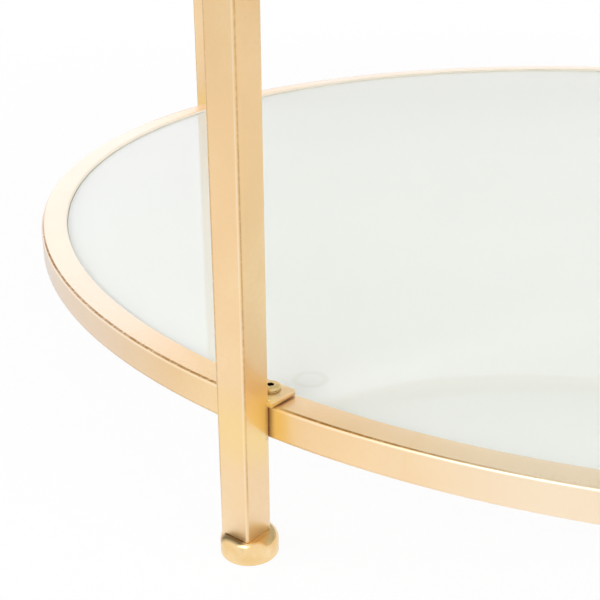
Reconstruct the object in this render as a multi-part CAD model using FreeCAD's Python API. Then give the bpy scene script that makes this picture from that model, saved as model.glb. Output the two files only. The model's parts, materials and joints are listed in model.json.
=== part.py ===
import FreeCAD, Part
import math
import os

# Two-tier round coffee table: two rings of square tube, each holding a dropped-in
# glass pane, hang between four legs of the same tube that stand on round feet.
# Lengths in millimetres, angles in degrees. Z is up, the floor is z = 0, the front is -Y.

# Overall sizes
TABLE_HEIGHT = 440.0
RING_DIAMETER = 828.0
SHELF_HEIGHT = 73.0

# Square tube used for the rings and the legs
TUBE = 16.0
TUBE_WALL = 1.2
RING_EDGE = 1.5
RING_INSIDE_EDGE = 0.3
LEG_EDGE = 1.2
LEG_CAP = 1.5

# Where each leg stands, counted anticlockwise from +X
LEG_ANGLES = {
    "front_left": 225.0,
    "front_right": 315.0,
    "rear_right": 45.0,
    "rear_left": 135.0,
}

# Glass panes, dropped into the rings
GLASS = 5.0
GLASS_RECESS = 2.0
GLASS_GAP = 0.5
GLASS_ARRIS = 0.5

# Tabs on the rings' inner walls that carry the glass on round bumpers
SUPPORT_WIDTH = 22.0
SUPPORT_LENGTH = 26.0
SUPPORT = 2.5
BUMPER_DIAMETER = 14.0
BUMPER = 2.0
BUMPER_INSET = 18.0
BUMPER_SHIFT = 3.5
BUMPER_EDGE = 0.6

# Brackets welded to the legs and screwed to the rings, with a narrow lip beside each leg
BRACKET_WIDTH = 18.0
BRACKET_SHIFT = 2.0
BRACKET_END_GAP = 1.0
BRACKET_LIP = 2.0
BRACKET = 2.5
BRACKET_CORNER = 1.5
SCREW_HOLE_PLAY = 0.3

# Screws and rivet nuts
SCREW = 5.0
SCREW_LENGTH = 12.0
HEAD_DIAMETER = 9.5
HEAD = 2.5
HEAD_CROWN = 7.0
HEAD_RIM = 1.1
HEAD_BOW = 0.62
SOCKET = 3.0
SOCKET_DEPTH = 1.6
NUT_DIAMETER = 7.0
NUT_LENGTH = 9.0
NUT_FLANGE_DIAMETER = 10.0
NUT_FLANGE = 0.5

# Feet on threaded studs, a little off the legs' middle lines, and the plugs that hold them
FOOT_DIAMETER = 26.4
FOOT = 11.0
FOOT_TOP_EDGE = 4.5
FOOT_BOTTOM_EDGE = 1.2
FOOT_SHIFT_IN = 0.9
FOOT_SHIFT_SIDE = 1.1
STUD = 6.0
STUD_LENGTH = 24.0
INSERT_LENGTH = 28.0

# Clearance round a turned piece in its hole, on the radius
FIT = 0.05

# Values that follow from the ones above
RING_OUTER = RING_DIAMETER / 2.0
RING_INNER = RING_OUTER - TUBE
RING_MIDDLE = RING_OUTER - TUBE / 2.0
LEG_MIDDLE = RING_OUTER + TUBE / 2.0
TUBE_INSIDE = TUBE - 2.0 * TUBE_WALL
LEG_TOP = TABLE_HEIGHT - LEG_CAP
FOOT_MIDDLE = LEG_MIDDLE - FOOT_SHIFT_IN
TOP_RING_BOTTOM = TABLE_HEIGHT - TUBE
GLASS_RADIUS = RING_INNER - GLASS_GAP
SUPPORT_DROP = GLASS_RECESS + GLASS + BUMPER

os.makedirs("parts", exist_ok=True)

UP = FreeCAD.Vector(0, 0, 1)
ORIGIN = FreeCAD.Vector(0, 0, 0)


def vec(x, y, z):
    return FreeCAD.Vector(x, y, z)


def box(x0, x1, y0, y1, z0, z1):
    return Part.makeBox(x1 - x0, y1 - y0, z1 - z0, vec(x0, y0, z0))


def cylinder(radius, z0, z1, x=0.0, y=0.0):
    return Part.makeCylinder(radius, z1 - z0, vec(x, y, z0), UP)


def turned(shape, angle):
    """A copy of the shape, turned about the table's middle line."""
    copy = shape.copy()
    copy.rotate(ORIGIN, UP, angle)
    return copy


def upside_down(shape, z):
    """A copy of the shape, turned over about the level z (left and right change sides)."""
    copy = shape.copy()
    copy.rotate(vec(0, 0, z), vec(1, 0, 0), 180)
    return copy


def at_legs(shape):
    """One copy at each leg, kept as separate solids."""
    return Part.makeCompound([turned(shape, angle) for angle in LEG_ANGLES.values()])


def upright_edges(shape, x_from):
    """The shape's upright edges that lie at or beyond x_from."""
    found = []
    for edge in shape.Edges:
        ends = [vertex.Point for vertex in edge.Vertexes]
        if len(ends) != 2:
            continue
        level = abs(ends[0].x - ends[1].x) + abs(ends[0].y - ends[1].y)
        if level < 1e-6 and min(end.x for end in ends) >= x_from:
            found.append(edge)
    return found


def edges_at(shape, z):
    """The shape's edges that lie wholly at the level z."""
    found = []
    for edge in shape.Edges:
        bounds = edge.BoundBox
        if abs(bounds.ZMin - z) < 1e-6 and abs(bounds.ZMax - z) < 1e-6:
            found.append(edge)
    return found


def export(shape, node):
    shape.exportStep("parts/" + node + ".step")


# Rings of square tube

def tube_section(half, edge):
    """A square with rounded corners in the XZ plane, round the tube's middle."""
    flat = half - edge
    slant = edge * math.sqrt(0.5)
    pieces = []
    corners = ((1, 1), (-1, 1), (-1, -1), (1, -1))
    for index, (sx, sz) in enumerate(corners):
        next_x, next_z = corners[(index + 1) % 4]
        middle = vec(RING_MIDDLE + sx * flat, 0, sz * flat)
        if sx == sz:
            first, last = vec(sx * edge, 0, 0), vec(0, 0, sz * edge)
            start, stop = vec(sx * flat, 0, sz * half), vec(next_x * flat, 0, sz * half)
        else:
            first, last = vec(0, 0, sz * edge), vec(sx * edge, 0, 0)
            start, stop = vec(sx * half, 0, sz * flat), vec(sx * half, 0, next_z * flat)
        bulge = vec(sx * slant, 0, sz * slant)
        pieces.append(Part.Arc(middle + first, middle + bulge, middle + last).toShape())
        centre = vec(RING_MIDDLE, 0, 0)
        pieces.append(Part.LineSegment(centre + start, centre + stop).toShape())
    return Part.Wire(Part.__sortEdges__(pieces))


def ring(screw_side):
    """A ring with its middle at z = 0 and the rivet-nut holes above (+1) or below (-1)."""
    outside = Part.Face(tube_section(TUBE / 2.0, RING_EDGE)).revolve(ORIGIN, UP, 360)
    inside = Part.Face(tube_section(TUBE_INSIDE / 2.0, RING_INSIDE_EDGE)).revolve(ORIGIN, UP, 360)
    shape = outside.cut(inside)
    ends = sorted((0.0, screw_side * TUBE))
    hole = cylinder(NUT_DIAMETER / 2.0 + FIT, ends[0], ends[1], RING_MIDDLE, screw_side * BRACKET_SHIFT)
    for angle in LEG_ANGLES.values():
        shape = shape.cut(turned(hole, angle))
    return shape


shelf_ring = ring(1)
shelf_ring.translate(vec(0, 0, SHELF_HEIGHT - TUBE / 2.0))
export(shelf_ring, "shelf_ring")

top_ring = ring(-1)
top_ring.translate(vec(0, 0, TABLE_HEIGHT - TUBE / 2.0))
export(top_ring, "top_ring")


# Glass panes with a small arris on both rims

def pane(ring_top):
    top = ring_top - GLASS_RECESS
    disc = cylinder(GLASS_RADIUS, top - GLASS, top)
    return disc.makeChamfer(GLASS_ARRIS, edges_at(disc, top) + edges_at(disc, top - GLASS))


export(pane(SHELF_HEIGHT), "shelf_glass")
export(pane(TABLE_HEIGHT), "top_glass")


# Glass supports, each ending on the ring's inner wall, and their bumpers

def support(ring_top):
    top = ring_top - SUPPORT_DROP
    start = RING_INNER - SUPPORT_LENGTH
    plate = box(start, RING_OUTER, -SUPPORT_WIDTH / 2.0, SUPPORT_WIDTH / 2.0, top - SUPPORT, top)
    front = [edge for edge in upright_edges(plate, 0.0) if edge.Vertexes[0].X < RING_MIDDLE]
    plate = plate.makeFillet(BRACKET_CORNER, front)
    return plate.common(cylinder(RING_INNER, top - SUPPORT, top))


def bumper(ring_top):
    bottom = ring_top - SUPPORT_DROP
    pad = cylinder(BUMPER_DIAMETER / 2.0, bottom, bottom + BUMPER, RING_INNER - BUMPER_INSET, BUMPER_SHIFT)
    return pad.makeFillet(BUMPER_EDGE, edges_at(pad, bottom + BUMPER))


for tier, ring_top in (("shelf", SHELF_HEIGHT), ("top", TABLE_HEIGHT)):
    for leg, angle in LEG_ANGLES.items():
        export(turned(support(ring_top), angle), tier + "_glass_support_" + leg)
    export(at_legs(bumper(ring_top)), tier + "_bumpers")


# Brackets with their screws and rivet nuts. Each is drawn lying on a ring whose
# face is at z = 0, on the +X side.

def bracket():
    z0 = NUT_FLANGE
    inner = RING_INNER + BRACKET_END_GAP
    side = BRACKET_WIDTH / 2.0
    outer = RING_OUTER + BRACKET_LIP
    plate = box(inner, outer, BRACKET_SHIFT - side, BRACKET_SHIFT + side, z0, z0 + BRACKET)
    free = [edge for edge in upright_edges(plate, 0.0) if edge.Vertexes[0].X < RING_MIDDLE]
    plate = plate.makeFillet(BRACKET_CORNER, free)
    plate = plate.cut(box(RING_OUTER, RING_OUTER + TUBE, -TUBE / 2.0, TUBE / 2.0, z0, z0 + BRACKET))
    hole = cylinder(SCREW / 2.0 + SCREW_HOLE_PLAY, z0, z0 + BRACKET, RING_MIDDLE, BRACKET_SHIFT)
    return plate.cut(hole)


def rivet_nut():
    flange = cylinder(NUT_FLANGE_DIAMETER / 2.0, 0.0, NUT_FLANGE, RING_MIDDLE, BRACKET_SHIFT)
    barrel = cylinder(NUT_DIAMETER / 2.0, -NUT_LENGTH, 0.0, RING_MIDDLE, BRACKET_SHIFT)
    thread = cylinder(SCREW / 2.0 + FIT, -NUT_LENGTH, NUT_FLANGE, RING_MIDDLE, BRACKET_SHIFT)
    return flange.fuse(barrel).cut(thread).removeSplitter()


def screw():
    z0 = NUT_FLANGE + BRACKET
    rim = HEAD_DIAMETER / 2.0
    crown = HEAD_CROWN / 2.0
    outline = [vec(0, 0, z0), vec(rim, 0, z0), vec(rim, 0, z0 + HEAD_RIM)]
    bow = vec(crown + (rim - crown) * HEAD_BOW, 0, z0 + HEAD_RIM + (HEAD - HEAD_RIM) * HEAD_BOW)
    dome = Part.Arc(outline[-1], bow, vec(crown, 0, z0 + HEAD)).toShape()
    lines = [Part.LineSegment(a, b).toShape() for a, b in zip(outline, outline[1:])]
    lines += [dome, Part.LineSegment(vec(crown, 0, z0 + HEAD), vec(0, 0, z0 + HEAD)).toShape()]
    lines += [Part.LineSegment(vec(0, 0, z0 + HEAD), vec(0, 0, z0)).toShape()]
    head = Part.Face(Part.Wire(lines)).revolve(ORIGIN, UP, 360)
    corner = SOCKET / math.sqrt(3.0)
    angles = [math.radians(60 * step) for step in range(7)]
    floor = z0 + HEAD - SOCKET_DEPTH
    hexagon = Part.makePolygon([vec(corner * math.cos(a), corner * math.sin(a), floor) for a in angles])
    head = head.cut(Part.Face(hexagon).extrude(vec(0, 0, HEAD)))
    whole = head.fuse(cylinder(SCREW / 2.0, z0 - SCREW_LENGTH, z0)).removeSplitter()
    whole.translate(vec(RING_MIDDLE, BRACKET_SHIFT, 0))
    return whole


FITTINGS = {
    "bolts": screw(),
    "rivet_nuts": rivet_nut(),
}

for tier, level in (("shelf", SHELF_HEIGHT), ("top", TOP_RING_BOTTOM)):
    plate = bracket()
    pieces = dict(FITTINGS)
    if tier == "top":
        plate = upside_down(plate, 0.0)
        pieces = {name: upside_down(piece, 0.0) for name, piece in pieces.items()}
    plate.translate(vec(0, 0, level))
    for leg, angle in LEG_ANGLES.items():
        export(turned(plate, angle), tier + "_bracket_" + leg)
    for name, piece in pieces.items():
        group = at_legs(piece)
        group.translate(vec(0, 0, level))
        export(group, tier + "_" + name)


# Legs of square tube with flat caps, the plugs in their lower ends and the feet

def square_bar(z0, z1):
    half = TUBE / 2.0
    bar = box(LEG_MIDDLE - half, LEG_MIDDLE + half, -half, half, z0, z1)
    return bar.makeFillet(LEG_EDGE, upright_edges(bar, 0.0))


def tube_filling(z0, z1):
    half = TUBE_INSIDE / 2.0
    return box(LEG_MIDDLE - half, LEG_MIDDLE + half, -half, half, z0, z1)


def leg_tube():
    return square_bar(FOOT, LEG_TOP).cut(tube_filling(FOOT, LEG_TOP))


def insert():
    top = FOOT + INSERT_LENGTH
    thread = cylinder(STUD / 2.0 + FIT, FOOT, top, FOOT_MIDDLE, FOOT_SHIFT_SIDE)
    return tube_filling(FOOT, top).cut(thread)


def foot():
    disc = cylinder(FOOT_DIAMETER / 2.0, 0.0, FOOT, FOOT_MIDDLE, FOOT_SHIFT_SIDE)
    disc = disc.makeFillet(FOOT_TOP_EDGE, edges_at(disc, FOOT))
    disc = disc.makeFillet(FOOT_BOTTOM_EDGE, edges_at(disc, 0.0))
    stud = cylinder(STUD / 2.0, FOOT, FOOT + STUD_LENGTH, FOOT_MIDDLE, FOOT_SHIFT_SIDE)
    return disc.fuse(stud)


for leg, angle in LEG_ANGLES.items():
    export(turned(leg_tube(), angle), "leg_" + leg)
    export(turned(square_bar(LEG_TOP, TABLE_HEIGHT), angle), "leg_cap_" + leg)
    export(turned(insert(), angle), "leg_insert_" + leg)
    export(turned(foot(), angle), "foot_" + leg)
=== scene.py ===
# %% [markdown]
# A round coffee table with two tiers. Two rings of gold-leafed square tube each hold a
# milky glass pane, and four legs of the same tube stand outside the rings on round feet.
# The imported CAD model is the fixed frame. Every finer piece made here goes where its CAD
# solid is, rides on the same body, and takes its place in the picture.

# %% Load the frame
import json
import math

import bmesh
import bpy
import numpy as np
from mathutils import Matrix, Vector


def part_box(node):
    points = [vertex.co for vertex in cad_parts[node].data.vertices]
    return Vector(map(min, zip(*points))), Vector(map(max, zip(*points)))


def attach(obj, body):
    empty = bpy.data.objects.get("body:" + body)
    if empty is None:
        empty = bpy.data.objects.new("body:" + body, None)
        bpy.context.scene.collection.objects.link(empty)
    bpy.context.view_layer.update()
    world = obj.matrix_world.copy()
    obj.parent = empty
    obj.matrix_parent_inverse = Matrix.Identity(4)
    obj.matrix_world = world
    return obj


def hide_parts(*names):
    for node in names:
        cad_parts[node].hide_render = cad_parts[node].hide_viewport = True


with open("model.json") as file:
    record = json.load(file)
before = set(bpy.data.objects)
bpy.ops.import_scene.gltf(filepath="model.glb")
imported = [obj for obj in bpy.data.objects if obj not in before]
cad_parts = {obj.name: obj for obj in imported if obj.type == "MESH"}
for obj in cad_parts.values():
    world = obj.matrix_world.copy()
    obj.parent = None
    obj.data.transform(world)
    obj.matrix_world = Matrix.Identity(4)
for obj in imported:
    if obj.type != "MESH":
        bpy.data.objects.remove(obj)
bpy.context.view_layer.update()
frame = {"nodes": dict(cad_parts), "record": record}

# %% [markdown]
# The sizes come from the CAD boxes wherever a box can give them, so that the pieces follow
# the solids. The small edge sizes that no box shows are repeated here in metres.

# %% Read the main sizes
MM = 0.001
LEGS = {"front_left": 225.0, "front_right": 315.0, "rear_right": 45.0, "rear_left": 135.0}
TIERS = ("shelf", "top")

RING_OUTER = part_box("shelf_ring")[1].x
RING_TOP = {tier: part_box(tier + "_ring")[1].z for tier in TIERS}
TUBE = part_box("shelf_ring")[1].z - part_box("shelf_ring")[0].z
RING_INNER = RING_OUTER - TUBE
RING_MIDDLE = RING_OUTER - TUBE / 2
LEG_MIDDLE = RING_OUTER + TUBE / 2
print("ring radius", round(RING_OUTER, 4), "tube", round(TUBE, 4), "ring tops", RING_TOP)

# %% [markdown]
# The photograph was taken from close by, a little below the height of the table top, and it
# looks down on the front left leg and the shelf. The camera's place and aim were worked out
# from the curve of the shelf ring and from the leg's edges. A camera looks along its own -Z,
# so its three axes are written as the columns of a matrix.

# %% Place the camera
CAMERA_PLACE = Vector((-0.3146, -0.7298, 0.3036))
AIM_AZIMUTH = math.radians(84.545)
AIM_DROP = math.radians(22.753)
CAMERA_ROLL = math.radians(0.365)
SENSOR_WIDTH = 36.0
LENS = 68.0
CLIP_START = 0.01

camera = bpy.data.objects.new("camera", bpy.data.cameras.new("camera"))
bpy.context.scene.collection.objects.link(camera)
bpy.context.scene.camera = camera
camera.data.sensor_width = SENSOR_WIDTH
camera.data.lens = LENS
camera.data.clip_start = CLIP_START
aim = Vector((
    math.cos(AIM_AZIMUTH) * math.cos(AIM_DROP),
    math.sin(AIM_AZIMUTH) * math.cos(AIM_DROP),
    -math.sin(AIM_DROP),
))
level = Vector((math.sin(AIM_AZIMUTH), -math.cos(AIM_AZIMUTH), 0.0))
upward = level.cross(aim)
across = math.cos(CAMERA_ROLL) * level - math.sin(CAMERA_ROLL) * upward
upward = math.sin(CAMERA_ROLL) * level + math.cos(CAMERA_ROLL) * upward
camera.matrix_world = Matrix((
    (across.x, upward.x, -aim.x, CAMERA_PLACE.x),
    (across.y, upward.y, -aim.y, CAMERA_PLACE.y),
    (across.z, upward.z, -aim.z, CAMERA_PLACE.z),
    (0, 0, 0, 1),
))
print("camera aims along", [round(v, 3) for v in aim])

# %% [markdown]
# A material is a graph of nodes. Writing its maths as Python expressions keeps it readable,
# so one small class wraps a socket and overloads the operators: each expression on values
# adds a Math node. The reflected forms let a plain number stand first, as in 1 - mask.

# %% A socket that does sums
class Wire:
    """A node's output that can be used in sums."""

    def __init__(self, finish, socket):
        self.finish = finish
        self.socket = socket

    def math(self, operation, first, second=0.0):
        """A Math node on one or two values."""
        node = self.finish.add("ShaderNodeMath", {"operation": operation}, {0: first, 1: second})
        return node["Value"]

    def __add__(self, other):
        return self.math("ADD", self, other)

    def __radd__(self, other):
        return self.math("ADD", other, self)

    def __sub__(self, other):
        return self.math("SUBTRACT", self, other)

    def __rsub__(self, other):
        return self.math("SUBTRACT", other, self)

    def __mul__(self, other):
        return self.math("MULTIPLY", self, other)

    def __rmul__(self, other):
        return self.math("MULTIPLY", other, self)

    def __truediv__(self, other):
        return self.math("DIVIDE", self, other)

    def __pow__(self, other):
        return self.math("POWER", self, other)

    def above(self, limit):
        return self.math("GREATER_THAN", self, limit)

    def fraction(self):
        return self.math("FRACT", self)

    def floor(self):
        return self.math("FLOOR", self)

    def size(self):
        return self.math("ABSOLUTE", self)

    def least(self, other):
        return self.math("MINIMUM", self, other)

    def ease(self, low, high):
        """0 below low, 1 above high, and smooth between them."""
        node = self.finish.add(
            "ShaderNodeMapRange",
            {"interpolation_type": "SMOOTHSTEP"},
            {"Value": self, "From Min": low, "From Max": high},
        )
        return node["Result"]


print("sums on sockets ready")

# %% [markdown]
# Every other kind of node comes from one method of a finish, which holds the node tree of a
# material or of the world. The Mix node has a set of sockets for each kind of value, all under
# the same names, so its colour sockets are picked by number.

# %% A finish that adds nodes
MIX_FACTOR, MIX_FIRST, MIX_SECOND, MIX_RESULT = 0, 6, 7, 2


class Outputs:
    """A node's outputs, each as a Wire."""

    def __init__(self, finish, node):
        self.finish = finish
        self.node = node

    def __getitem__(self, name):
        return Wire(self.finish, self.node.outputs[name])


class Finish:
    """A material or world whose node tree is filled by add()."""

    def __init__(self, owner):
        owner.use_nodes = True
        self.owner = owner
        self.tree = owner.node_tree
        self.tree.nodes.clear()

    def add(self, kind, settings=None, inputs=None):
        """One node: its settings first, then the values or links of its sockets."""
        node = self.tree.nodes.new(kind)
        for key, value in (settings or {}).items():
            setattr(node, key, value)
        for key, value in (inputs or {}).items():
            if isinstance(value, Wire):
                self.tree.links.new(value.socket, node.inputs[key])
            else:
                node.inputs[key].default_value = value
        return Outputs(self, node)

    def mix(self, factor, first, second):
        """A colour between two colours."""
        inputs = {MIX_FACTOR: factor, MIX_FIRST: first, MIX_SECOND: second}
        return self.add("ShaderNodeMix", {"data_type": "RGBA"}, inputs)[MIX_RESULT]

    def noise(self, where, scale, detail=2.0, roughness=0.5):
        """A cloudy number between 0 and 1."""
        inputs = {"Vector": where, "Scale": scale, "Detail": detail, "Roughness": roughness}
        return self.add("ShaderNodeTexNoise", None, inputs)["Fac"]

    def stretched(self, where, x, y):
        """Places scaled along and across, so that a noise there draws out into lines."""
        return self.add("ShaderNodeMapping", None, {"Vector": where, "Scale": (x, y, 1.0)})["Vector"]

    def surface(self, shader, kind="ShaderNodeOutputMaterial"):
        """Send the shader to the output and hand back the finished material or world."""
        self.add(kind, None, {"Surface": shader})
        return self.owner


def new_finish(name):
    """An empty material by this name."""
    return Finish(bpy.data.materials.new(name))


print("finishes ready")

# %% [markdown]
# The frame is steel tube covered with thin gold leaf under a clear satin lacquer. Leaf comes
# in small squares, so faint lap lines and slight changes of tone cross the tube every few
# centimetres, and the leaf rubs through to a brown ground along the sharp edges. Light and shade
# are painted on it too: a painted orange reflection of the gold faces in each other at the joints,
# painted shade in the corners there, a painted highlight that makes it palest halfway between the
# legs, and painted light on the strip of inner wall above each pane. An image could hold all
# this, but a few distances from the nearest joint place it on every piece alike.

# %% Tones of the leaf, and where the joints are
GOLD_PALE = (1.0, 0.73, 0.37, 1)
GOLD_DEEP = (0.95, 0.62, 0.26, 1)
GOLD_ROSE = (0.98, 0.72, 0.44, 1)
GOLD_EDGE_HIGHLIGHT = (1.0, 0.88, 0.66, 1)
GOLD_HIGHLIGHT_TONE = (0.97, 0.81, 0.62, 1)
GOLD_INSIDE_LIT = (1.0, 0.93, 0.81, 1)
GOLD_REFLECTED_GLOW = (1.0, 0.71, 0.19, 1)
BROWN_GROUND = (0.34, 0.16, 0.025, 1)
DARK_CORNER_SHADE = (0.38, 0.17, 0.02, 1)
DIAGONAL = math.sqrt(0.5)
CORNER_SHADE_REACH = 3.6 * MM
CORNER_SHADE_LEVEL = (TUBE * 0.44, TUBE * 0.56)
GLOW_REACH = 30 * MM
GLOW_OUTSIDE = (-6 * MM, -1 * MM)
HIGHLIGHT_TONE_REACH = (30 * MM, 140 * MM)
STRIP_START = (RING_INNER - 0.6 * MM, RING_INNER - 0.3 * MM)
STRIP_END = (RING_INNER, RING_INNER + 1.5 * MM)
STRIP_LEVEL = (TUBE * 0.33, TUBE * 0.40)
RIM_START = (RING_OUTER - 10 * MM, RING_OUTER - 1 * MM)
RIM_END = (RING_OUTER - 0.9 * MM, RING_OUTER - 0.3 * MM)


def length(*sides):
    """How long a line is whose steps along the axes are the sides."""
    return sum(side * side for side in sides) ** 0.5


class Joints:
    """Where a point lies from the joint of the nearest leg and the nearer ring."""

    def __init__(self, leaf, spot):
        split = leaf.add("ShaderNodeSeparateXYZ", None, {"Vector": spot})
        x, y = split["X"].size(), split["Y"].size()
        low = (split["Z"] - (RING_TOP["shelf"] - TUBE / 2)).size()
        high = (split["Z"] - (RING_TOP["top"] - TUBE / 2)).size()
        self.height = split["Z"]
        self.radius = length(x, y)
        self.out = (x + y) * DIAGONAL - RING_OUTER
        self.side = (x - y).size() * DIAGONAL
        self.level = low.least(high)

    def corner_shade(self):
        """Painted shade: 1 in the upright corners where the rings meet the legs, fading to 0 a little
        way off.
        """
        away = length(self.out, self.side - TUBE / 2)
        return (1 - away.ease(0.0, CORNER_SHADE_REACH)) * (1 - self.level.ease(*CORNER_SHADE_LEVEL))

    def reflected_glow(self):
        """1 at the joint, fading to 0 along the outer faces as far as the painted orange reflection
        reaches.
        """
        near = 1 - length(self.out, self.side, self.level).ease(TUBE * 0.5, GLOW_REACH)
        return near * self.out.ease(*GLOW_OUTSIDE)

    def span(self):
        """0 at the legs and 1 on the rings halfway between them, where a paler painted highlight goes.
        """
        return length(self.out, self.side).ease(*HIGHLIGHT_TONE_REACH)

    def inner_strip(self):
        """1 on the narrow strip of a ring's inner wall above its pane, where painted light goes."""
        strip = self.radius.ease(*STRIP_START) - self.radius.ease(*STRIP_END)
        return strip * self.level.ease(*STRIP_LEVEL)

    def outer_rim(self):
        """Rises across a ring's top to 1 beside its outer corner."""
        return self.radius.ease(*RIM_START) - self.radius.ease(*RIM_END)


# These reaches are those of the painted orange reflection and of the painted corner shade.
print("welding heat reaches", GLOW_REACH, "m, glaze", CORNER_SHADE_REACH, "m")

# %% [markdown]
# The laps follow a map named unrolled, in which u runs along the piece and v across it, both in
# metres. The edges follow a number named edge that each mesh keeps on its vertices: above 0
# the leaf is rubbed brown there, and below 0 a painted highlight lightens it. Noise of several
# sizes breaks up every effect, so that no line is even. The lacquer is the shader's own clear
# coat, and a little sheen gives it the pale haze that shows when the metal is seen at a low angle.

# %% Gold leaf
LEAF_LONG = 85 * MM
LEAF_DRIFT = 0.14
DRIFT_SCALE = 30.0
CLOUD_SCALE = 14.0
GRAIN_SCALE = (90.0, 700.0)
SPECK_SCALE = 420.0
MOTTLE_SCALE = 800.0
HANDLED_SCALE = 9.0
LAP_LINE = (0.474, 0.494)
LEAF_SHARE = 0.35
LAP_SHARE = 0.16
SPECK_SHARE = 0.3
HIGHLIGHT_TONE_SHARE = 0.75
GLOW_SHARE = 0.85
EDGE_HIGHLIGHT_SHARE = 0.5
MOTTLE_SHARE = 0.14
RUB_BARE = 0.45
RUB_SPECKED = 0.45
RUB_HANDLED = 0.25
RUB_FLOOR = (15 * MM, 50 * MM)
RUB_UNDER_GLOW = 0.7
HAZE_TINT = (0.86, 0.89, 1.0, 1)


def leaf_laps(leaf, along, spot):
    """Each leaf's own number from 0 to 1, and 1 on the line where it laps over the next."""
    split = leaf.add("ShaderNodeSeparateXYZ", None, {"Vector": along})
    run = split["X"] / LEAF_LONG + (leaf.noise(spot, DRIFT_SCALE) - 0.5) * LEAF_DRIFT
    number = leaf.add("ShaderNodeTexWhiteNoise", {"noise_dimensions": "1D"}, {"W": run.floor()})
    return number["Value"], (run.fraction() - 0.5).size().ease(*LAP_LINE)


def gold_leaf():
    leaf = new_finish("gold_leaf")
    spot = leaf.add("ShaderNodeTexCoord")["Object"]
    along = leaf.add("ShaderNodeUVMap", {"uv_map": "unrolled"})["UV"]
    edge = leaf.add("ShaderNodeAttribute", {"attribute_name": "edge"})["Fac"]
    joint = Joints(leaf, spot)
    reflected_glow = joint.reflected_glow()
    number, lap = leaf_laps(leaf, along, spot)
    cloud = leaf.noise(spot, CLOUD_SCALE, 3.0)
    grain = leaf.noise(leaf.stretched(along, *GRAIN_SCALE), 1.0, 4.0, 0.6)
    speck = leaf.noise(spot, SPECK_SCALE, 3.0, 0.7)
    handled = leaf.noise(spot, HANDLED_SCALE).ease(0.40, 0.62)
    mottle = leaf.noise(spot, MOTTLE_SCALE, 3.0, 0.7).ease(0.50, 0.64)
    mottle = mottle * joint.outer_rim() * (1 - handled)
    worn = RUB_BARE + speck.ease(0.30, 0.62) * RUB_SPECKED + handled * RUB_HANDLED
    rubbed = edge.ease(0.05, 0.6) * worn.least(1.0)
    rubbed = rubbed * joint.height.ease(*RUB_FLOOR) * (1 - reflected_glow * RUB_UNDER_GLOW)

    tone = leaf.mix(cloud.ease(0.3, 0.7), GOLD_PALE, GOLD_DEEP)
    tone = leaf.mix(number * LEAF_SHARE, tone, GOLD_ROSE)
    tone = leaf.mix(lap * LAP_SHARE, tone, GOLD_DEEP)
    tone = leaf.mix(speck.ease(0.35, 0.7) * SPECK_SHARE, tone, GOLD_DEEP)
    # Painted highlight: the leaf is painted paler halfway between the legs.
    tone = leaf.mix(joint.span() * HIGHLIGHT_TONE_SHARE, tone, GOLD_HIGHLIGHT_TONE)
    # Painted light: the shaded strip of inner wall above each pane is painted pale.
    tone = leaf.mix(joint.inner_strip(), tone, GOLD_INSIDE_LIT)
    # Painted reflection: near each joint the gold faces are painted orange, as they mirror each other.
    tone = leaf.mix(reflected_glow * GLOW_SHARE, tone, GOLD_REFLECTED_GLOW)
    # Painted highlight where the edge number is below 0.
    tone = leaf.mix((0 - edge).ease(0.2, 0.9) * EDGE_HIGHLIGHT_SHARE, tone, GOLD_EDGE_HIGHLIGHT)
    tone = leaf.mix(mottle * MOTTLE_SHARE, tone, BROWN_GROUND)
    tone = leaf.mix(rubbed, tone, BROWN_GROUND)
    # Painted shade: dark brown in the upright corners where the rings meet the legs.
    tone = leaf.mix(joint.corner_shade() * (0.4 + speck * 0.4), tone, DARK_CORNER_SHADE)

    relief = grain * 0.5 + speck * 0.35 + lap * 0.5 - rubbed * 0.8
    bump = leaf.add("ShaderNodeBump", None, {"Strength": 0.06, "Distance": 0.6 * MM, "Height": relief})
    shader = leaf.add("ShaderNodeBsdfPrincipled", None, {
        "Base Color": tone,
        "Metallic": 1 - rubbed * 0.4,
        "Roughness": 0.36 + cloud * 0.08 + grain * 0.07 + rubbed * 0.2 + lap * 0.03,
        "Coat Weight": 1 - rubbed,
        "Coat Roughness": 0.2,
        "Coat IOR": 2.0,
        "Sheen Weight": 0.5,
        "Sheen Roughness": 0.27,
        "Sheen Tint": HAZE_TINT,
        "Normal": bump["Normal"],
    })
    return leaf.surface(shader["BSDF"])


GOLD_LEAF = gold_leaf()
print("made", GOLD_LEAF.name, "with", len(GOLD_LEAF.node_tree.nodes), "nodes")

# %% [markdown]
# The feet are turned from solid metal and polished, so they are smoother and more yellow than
# the leafed tube. Fine turning marks run round them. The screws have a duller brass plating,
# the rivet nuts are zinc plated and the plugs in the legs are moulded black plastic. The three
# metals differ only in numbers, so one function makes them. On these pieces the edge number
# marks painted shade, dark brown where shade falls under and into them.

# %% Turned, plated and moulded finishes
METAL_SHADE = (0.05, 0.025, 0.005, 1)
SHADE_SHARE = 0.9
BLACK_DEEP = (0.018, 0.016, 0.015, 1)
BLACK_PALE = (0.035, 0.032, 0.03, 1)


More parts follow.
